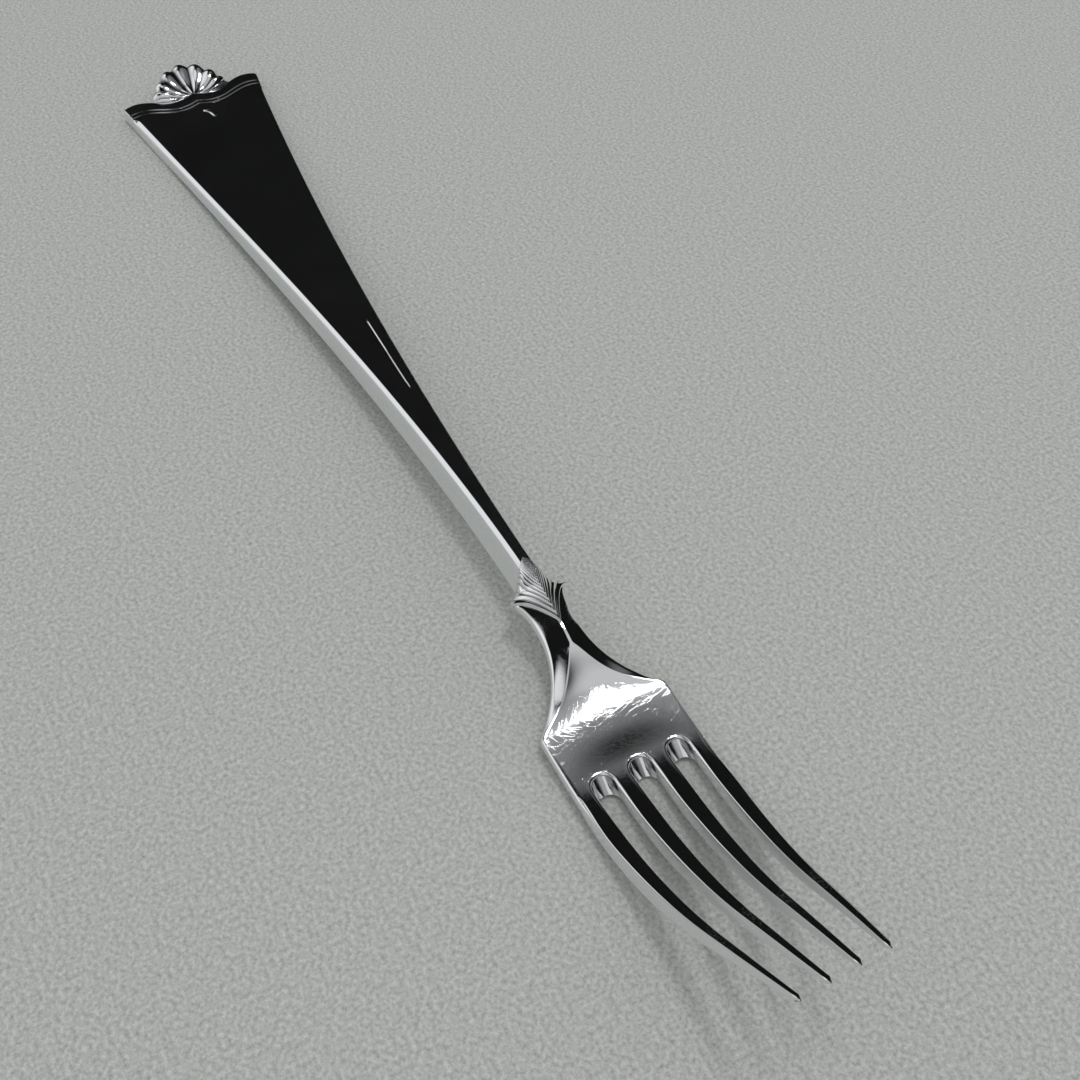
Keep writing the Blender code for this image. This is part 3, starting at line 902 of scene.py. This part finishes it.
handleBar = makeHandle()
reliefComma = makeComma()
bpy.ops.object.select_all(action="DESELECT")
reliefComma.select_set(True)
handleBar.select_set(True)
bpy.context.view_layer.objects.active = handleBar
bpy.ops.object.join()
scallopShell = makeShell()
leafCollar = makeCollar()
forkHead = makeHead()
mirrorSilver = polishedSilver()
castSilver = workedSilver()
dress(handleBar, mirrorSilver, "polished_silver", "handle")
dress(scallopShell, castSilver, "worked_silver", "shell")
dress(leafCollar, castSilver, "worked_silver", "leaf_collar")
dress(forkHead, mirrorSilver, "polished_silver", "fork_head")
print("fork dressed")


# Camera, from the photograph's viewing angle
view = {
    "position": (0.0958, -0.03374, 0.1022),  # metres
    "azimuth": 62.1,  # degrees that the line of sight's right hand is turned from +X towards +Y
    "pitch": 51.01,  # degrees below the horizon
    "roll": 0.65,
    "lens": 43.3,
    "sensor": 36.0,
    "clipStart": 0.005,
}


def makeCamera():
    bpy.ops.object.camera_add(location=view["position"])
    camera = bpy.context.object
    camera.name = "photoCamera"
    camera.data.lens = view["lens"]
    camera.data.sensor_width = view["sensor"]
    camera.data.clip_start = view["clipStart"]
    turn = Matrix.Rotation(math.radians(view["azimuth"]), 3, "Z")
    tilt = Matrix.Rotation(math.radians(90 - view["pitch"]), 3, "X")
    roll = Matrix.Rotation(math.radians(-view["roll"]), 3, "Z")
    camera.rotation_euler = (turn @ tilt @ roll).to_euler()
    scene.camera = camera


makeCamera()
print("camera ready")


# Table of honed stone: pale grey, matt, with a fine mottled grain. It ends beyond the frame, so that the
# fork's face mirrors the dim room past it.
table = {
    "farEdge": 0.225,  # metres ahead of the camera, on the table
    "nearEdge": -0.9,
    "left": -0.9,
    "right": 0.5,
    "paleColor": "dee0db",
    "deepColor": "50524e",
    "roughness": 0.85,
    "specular": 0.1,
    "grainSize": 0.4,  # mm
    "grainDepth": 0.05,  # mm
    "grainDetail": 5.0,
    "grainRoughness": 0.65,
    "grainStrength": 0.4,
}


def honedStone():
    material, tree, shader, place = newMaterial("honedStone")
    shader.inputs["Roughness"].default_value = table["roughness"]
    shader.inputs["Specular IOR Level"].default_value = table["specular"]
    grain = addNode(tree, "ShaderNodeTexNoise",
                    {"Scale": 1 / (table["grainSize"] * mm), "Detail": table["grainDetail"],
                     "Roughness": table["grainRoughness"]}, {"Vector": place}).outputs["Fac"]
    tint = addNode(tree, "ShaderNodeMixRGB",
                   {"Color1": hexColor(table["deepColor"]), "Color2": hexColor(table["paleColor"])},
                   {"Fac": grain})
    tree.links.new(tint.outputs["Color"], shader.inputs["Base Color"])
    bump = addNode(tree, "ShaderNodeBump",
                   {"Distance": table["grainDepth"] * mm, "Strength": table["grainStrength"]},
                   {"Height": grain})
    tree.links.new(bump.outputs["Normal"], shader.inputs["Normal"])
    return material


def makeTable():
    bpy.ops.object.select_all(action="DESELECT")
    bpy.ops.mesh.primitive_plane_add(size=2)
    top = bpy.context.object
    top.name = "tableTop"
    turn = math.radians(view["azimuth"])
    right = Vector((math.cos(turn), math.sin(turn), 0))
    ahead = Vector((-right.y, right.x, 0))
    start = Vector((view["position"][0], view["position"][1], 0))
    for vertex in top.data.vertices:
        sideways = table["right"] if vertex.co.x > 0 else table["left"]
        forwards = table["farEdge"] if vertex.co.y > 0 else table["nearEdge"]
        vertex.co = start + right * sideways + ahead * forwards
    top.data.materials.append(honedStone())
    top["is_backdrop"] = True


makeTable()
print("table ready")

# Studio: one soft lamp overhead, in a plain room that gives even light
studio = {
    "lamp": (-0.01, 0.242, 0.97),  # metres
    "lampSize": 0.17,
    "lampPower": 2.0,
    "roomColor": "f4f5f7",
    "roomLevel": 0.84,
    "backdropColor": "b4b5b2",
    "dimLevel": 0.006,
}

# What the metal mirrors of the room: dim all round, but for a pale wall at the left of the picture and
# round areas of soft light. The wall fades in over this range of a direction's -Y part, and out over
# these degrees upwards. An area's angles are in degrees, and it fades from inner to outer.
paleWall = {"level": 0.62, "edge": (0.12, 0.34), "top": (17, 29)}
paleAreas = [
    {"level": 0.88, "azimuth": 212, "elevation": 34, "inner": 10, "outer": 30},  # left, beyond the handle
    {"level": 0.4, "azimuth": 55, "elevation": 78, "inner": 6, "outer": 29},  # ceiling overhead
    {"level": 0.6, "azimuth": 15, "elevation": 66, "inner": 10, "outer": 34},  # ceiling past the tines
    {"level": 0.2, "azimuth": 135, "elevation": 66, "inner": 5, "outer": 14},  # faint, high up ahead
    {"level": 0.15, "azimuth": 118, "elevation": 50, "inner": 4, "outer": 20},  # faint, ahead
    {"level": 0.7, "azimuth": 328, "elevation": 32, "inner": 16, "outer": 30},  # behind the camera
    {"level": 0.8, "azimuth": 240, "elevation": 66, "inner": 8, "outer": 18},  # high on the left
    {"level": 0.9, "azimuth": 242, "elevation": 16, "inner": 12, "outer": 20},  # low on the left
]


def makeLamp():
    bpy.ops.object.light_add(type="AREA", location=studio["lamp"])
    lamp = bpy.context.object
    lamp.name = "overheadLamp"
    lamp.rotation_euler = Vector(studio["lamp"]).to_track_quat("Z", "Y").to_euler()  # faces the fork
    lamp.data.shape = "DISK"
    lamp.data.size = studio["lampSize"]
    lamp.data.energy = studio["lampPower"]


def makeRoom():
    world = bpy.data.worlds.new("studioRoom")
    scene.world = world
    world.use_nodes = True
    tree = world.node_tree
    tree.nodes.clear()
    direction = addNode(tree, "ShaderNodeTexCoord").outputs["Generated"]
    axes = addNode(tree, "ShaderNodeSeparateXYZ", {}, {"Vector": direction}).outputs
    low, high = paleWall["edge"]
    wall = addNode(tree, "ShaderNodeMapRange",
                   {"interpolation_type": "SMOOTHSTEP", "From Min": -high, "From Max": -low,
                    "To Min": paleWall["level"], "To Max": 0.0}, {"Value": axes["Y"]})
    low, high = [math.sin(math.radians(angle)) for angle in paleWall["top"]]
    below = addNode(tree, "ShaderNodeMapRange",
                    {"interpolation_type": "SMOOTHSTEP", "From Min": low, "From Max": high,
                     "To Min": 1.0, "To Max": studio["dimLevel"]}, {"Value": axes["Z"]})
    level = addNode(tree, "ShaderNodeMath", {"operation": "MULTIPLY"},
                    {0: wall.outputs["Result"], 1: below.outputs["Result"]}).outputs["Value"]
    for area in paleAreas:
        turn, rise = math.radians(area["azimuth"]), math.radians(area["elevation"])
        axis = (math.cos(turn) * math.cos(rise), math.sin(turn) * math.cos(rise), math.sin(rise))
        facing = addNode(tree, "ShaderNodeVectorMath", {"operation": "DOT_PRODUCT", 1: axis},
                         {0: direction})
        low, high = [math.cos(math.radians(area[key])) for key in ("outer", "inner")]
        glow = addNode(tree, "ShaderNodeMapRange",
                       {"interpolation_type": "SMOOTHSTEP", "From Min": low, "From Max": high,
                        "To Min": studio["dimLevel"], "To Max": area["level"]},
                       {"Value": facing.outputs["Value"]})
        level = addNode(tree, "ShaderNodeMath", {"operation": "MAXIMUM"},
                        {0: level, 1: glow.outputs["Result"]}).outputs["Value"]
    # reflections see the mirrored room, the camera a plain backdrop, and the even room lights the rest
    rays = addNode(tree, "ShaderNodeLightPath").outputs
    roomColor = hexColor(studio["roomColor"])
    mirrored = addNode(tree, "ShaderNodeBackground", {"Color": roomColor}, {"Strength": level})
    room = addNode(tree, "ShaderNodeBackground", {"Color": roomColor, "Strength": studio["roomLevel"]})
    backdrop = addNode(tree, "ShaderNodeBackground", {"Color": hexColor(studio["backdropColor"])})
    glossy = addNode(tree, "ShaderNodeMixShader", {},
                     {"Fac": rays["Is Glossy Ray"], 1: room.outputs["Background"],
                      2: mirrored.outputs["Background"]})
    seen = addNode(tree, "ShaderNodeMixShader", {},
                   {"Fac": rays["Is Camera Ray"], 1: glossy.outputs["Shader"],
                    2: backdrop.outputs["Background"]})
    addNode(tree, "ShaderNodeOutputWorld", {}, {"Surface": seen.outputs["Shader"]})


makeLamp()
makeRoom()
scene.view_settings.view_transform = "Standard"
print("studio ready")

boxes = {"cad": [list(cadLow), list(cadHigh)], "visual": [list(corner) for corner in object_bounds()]}
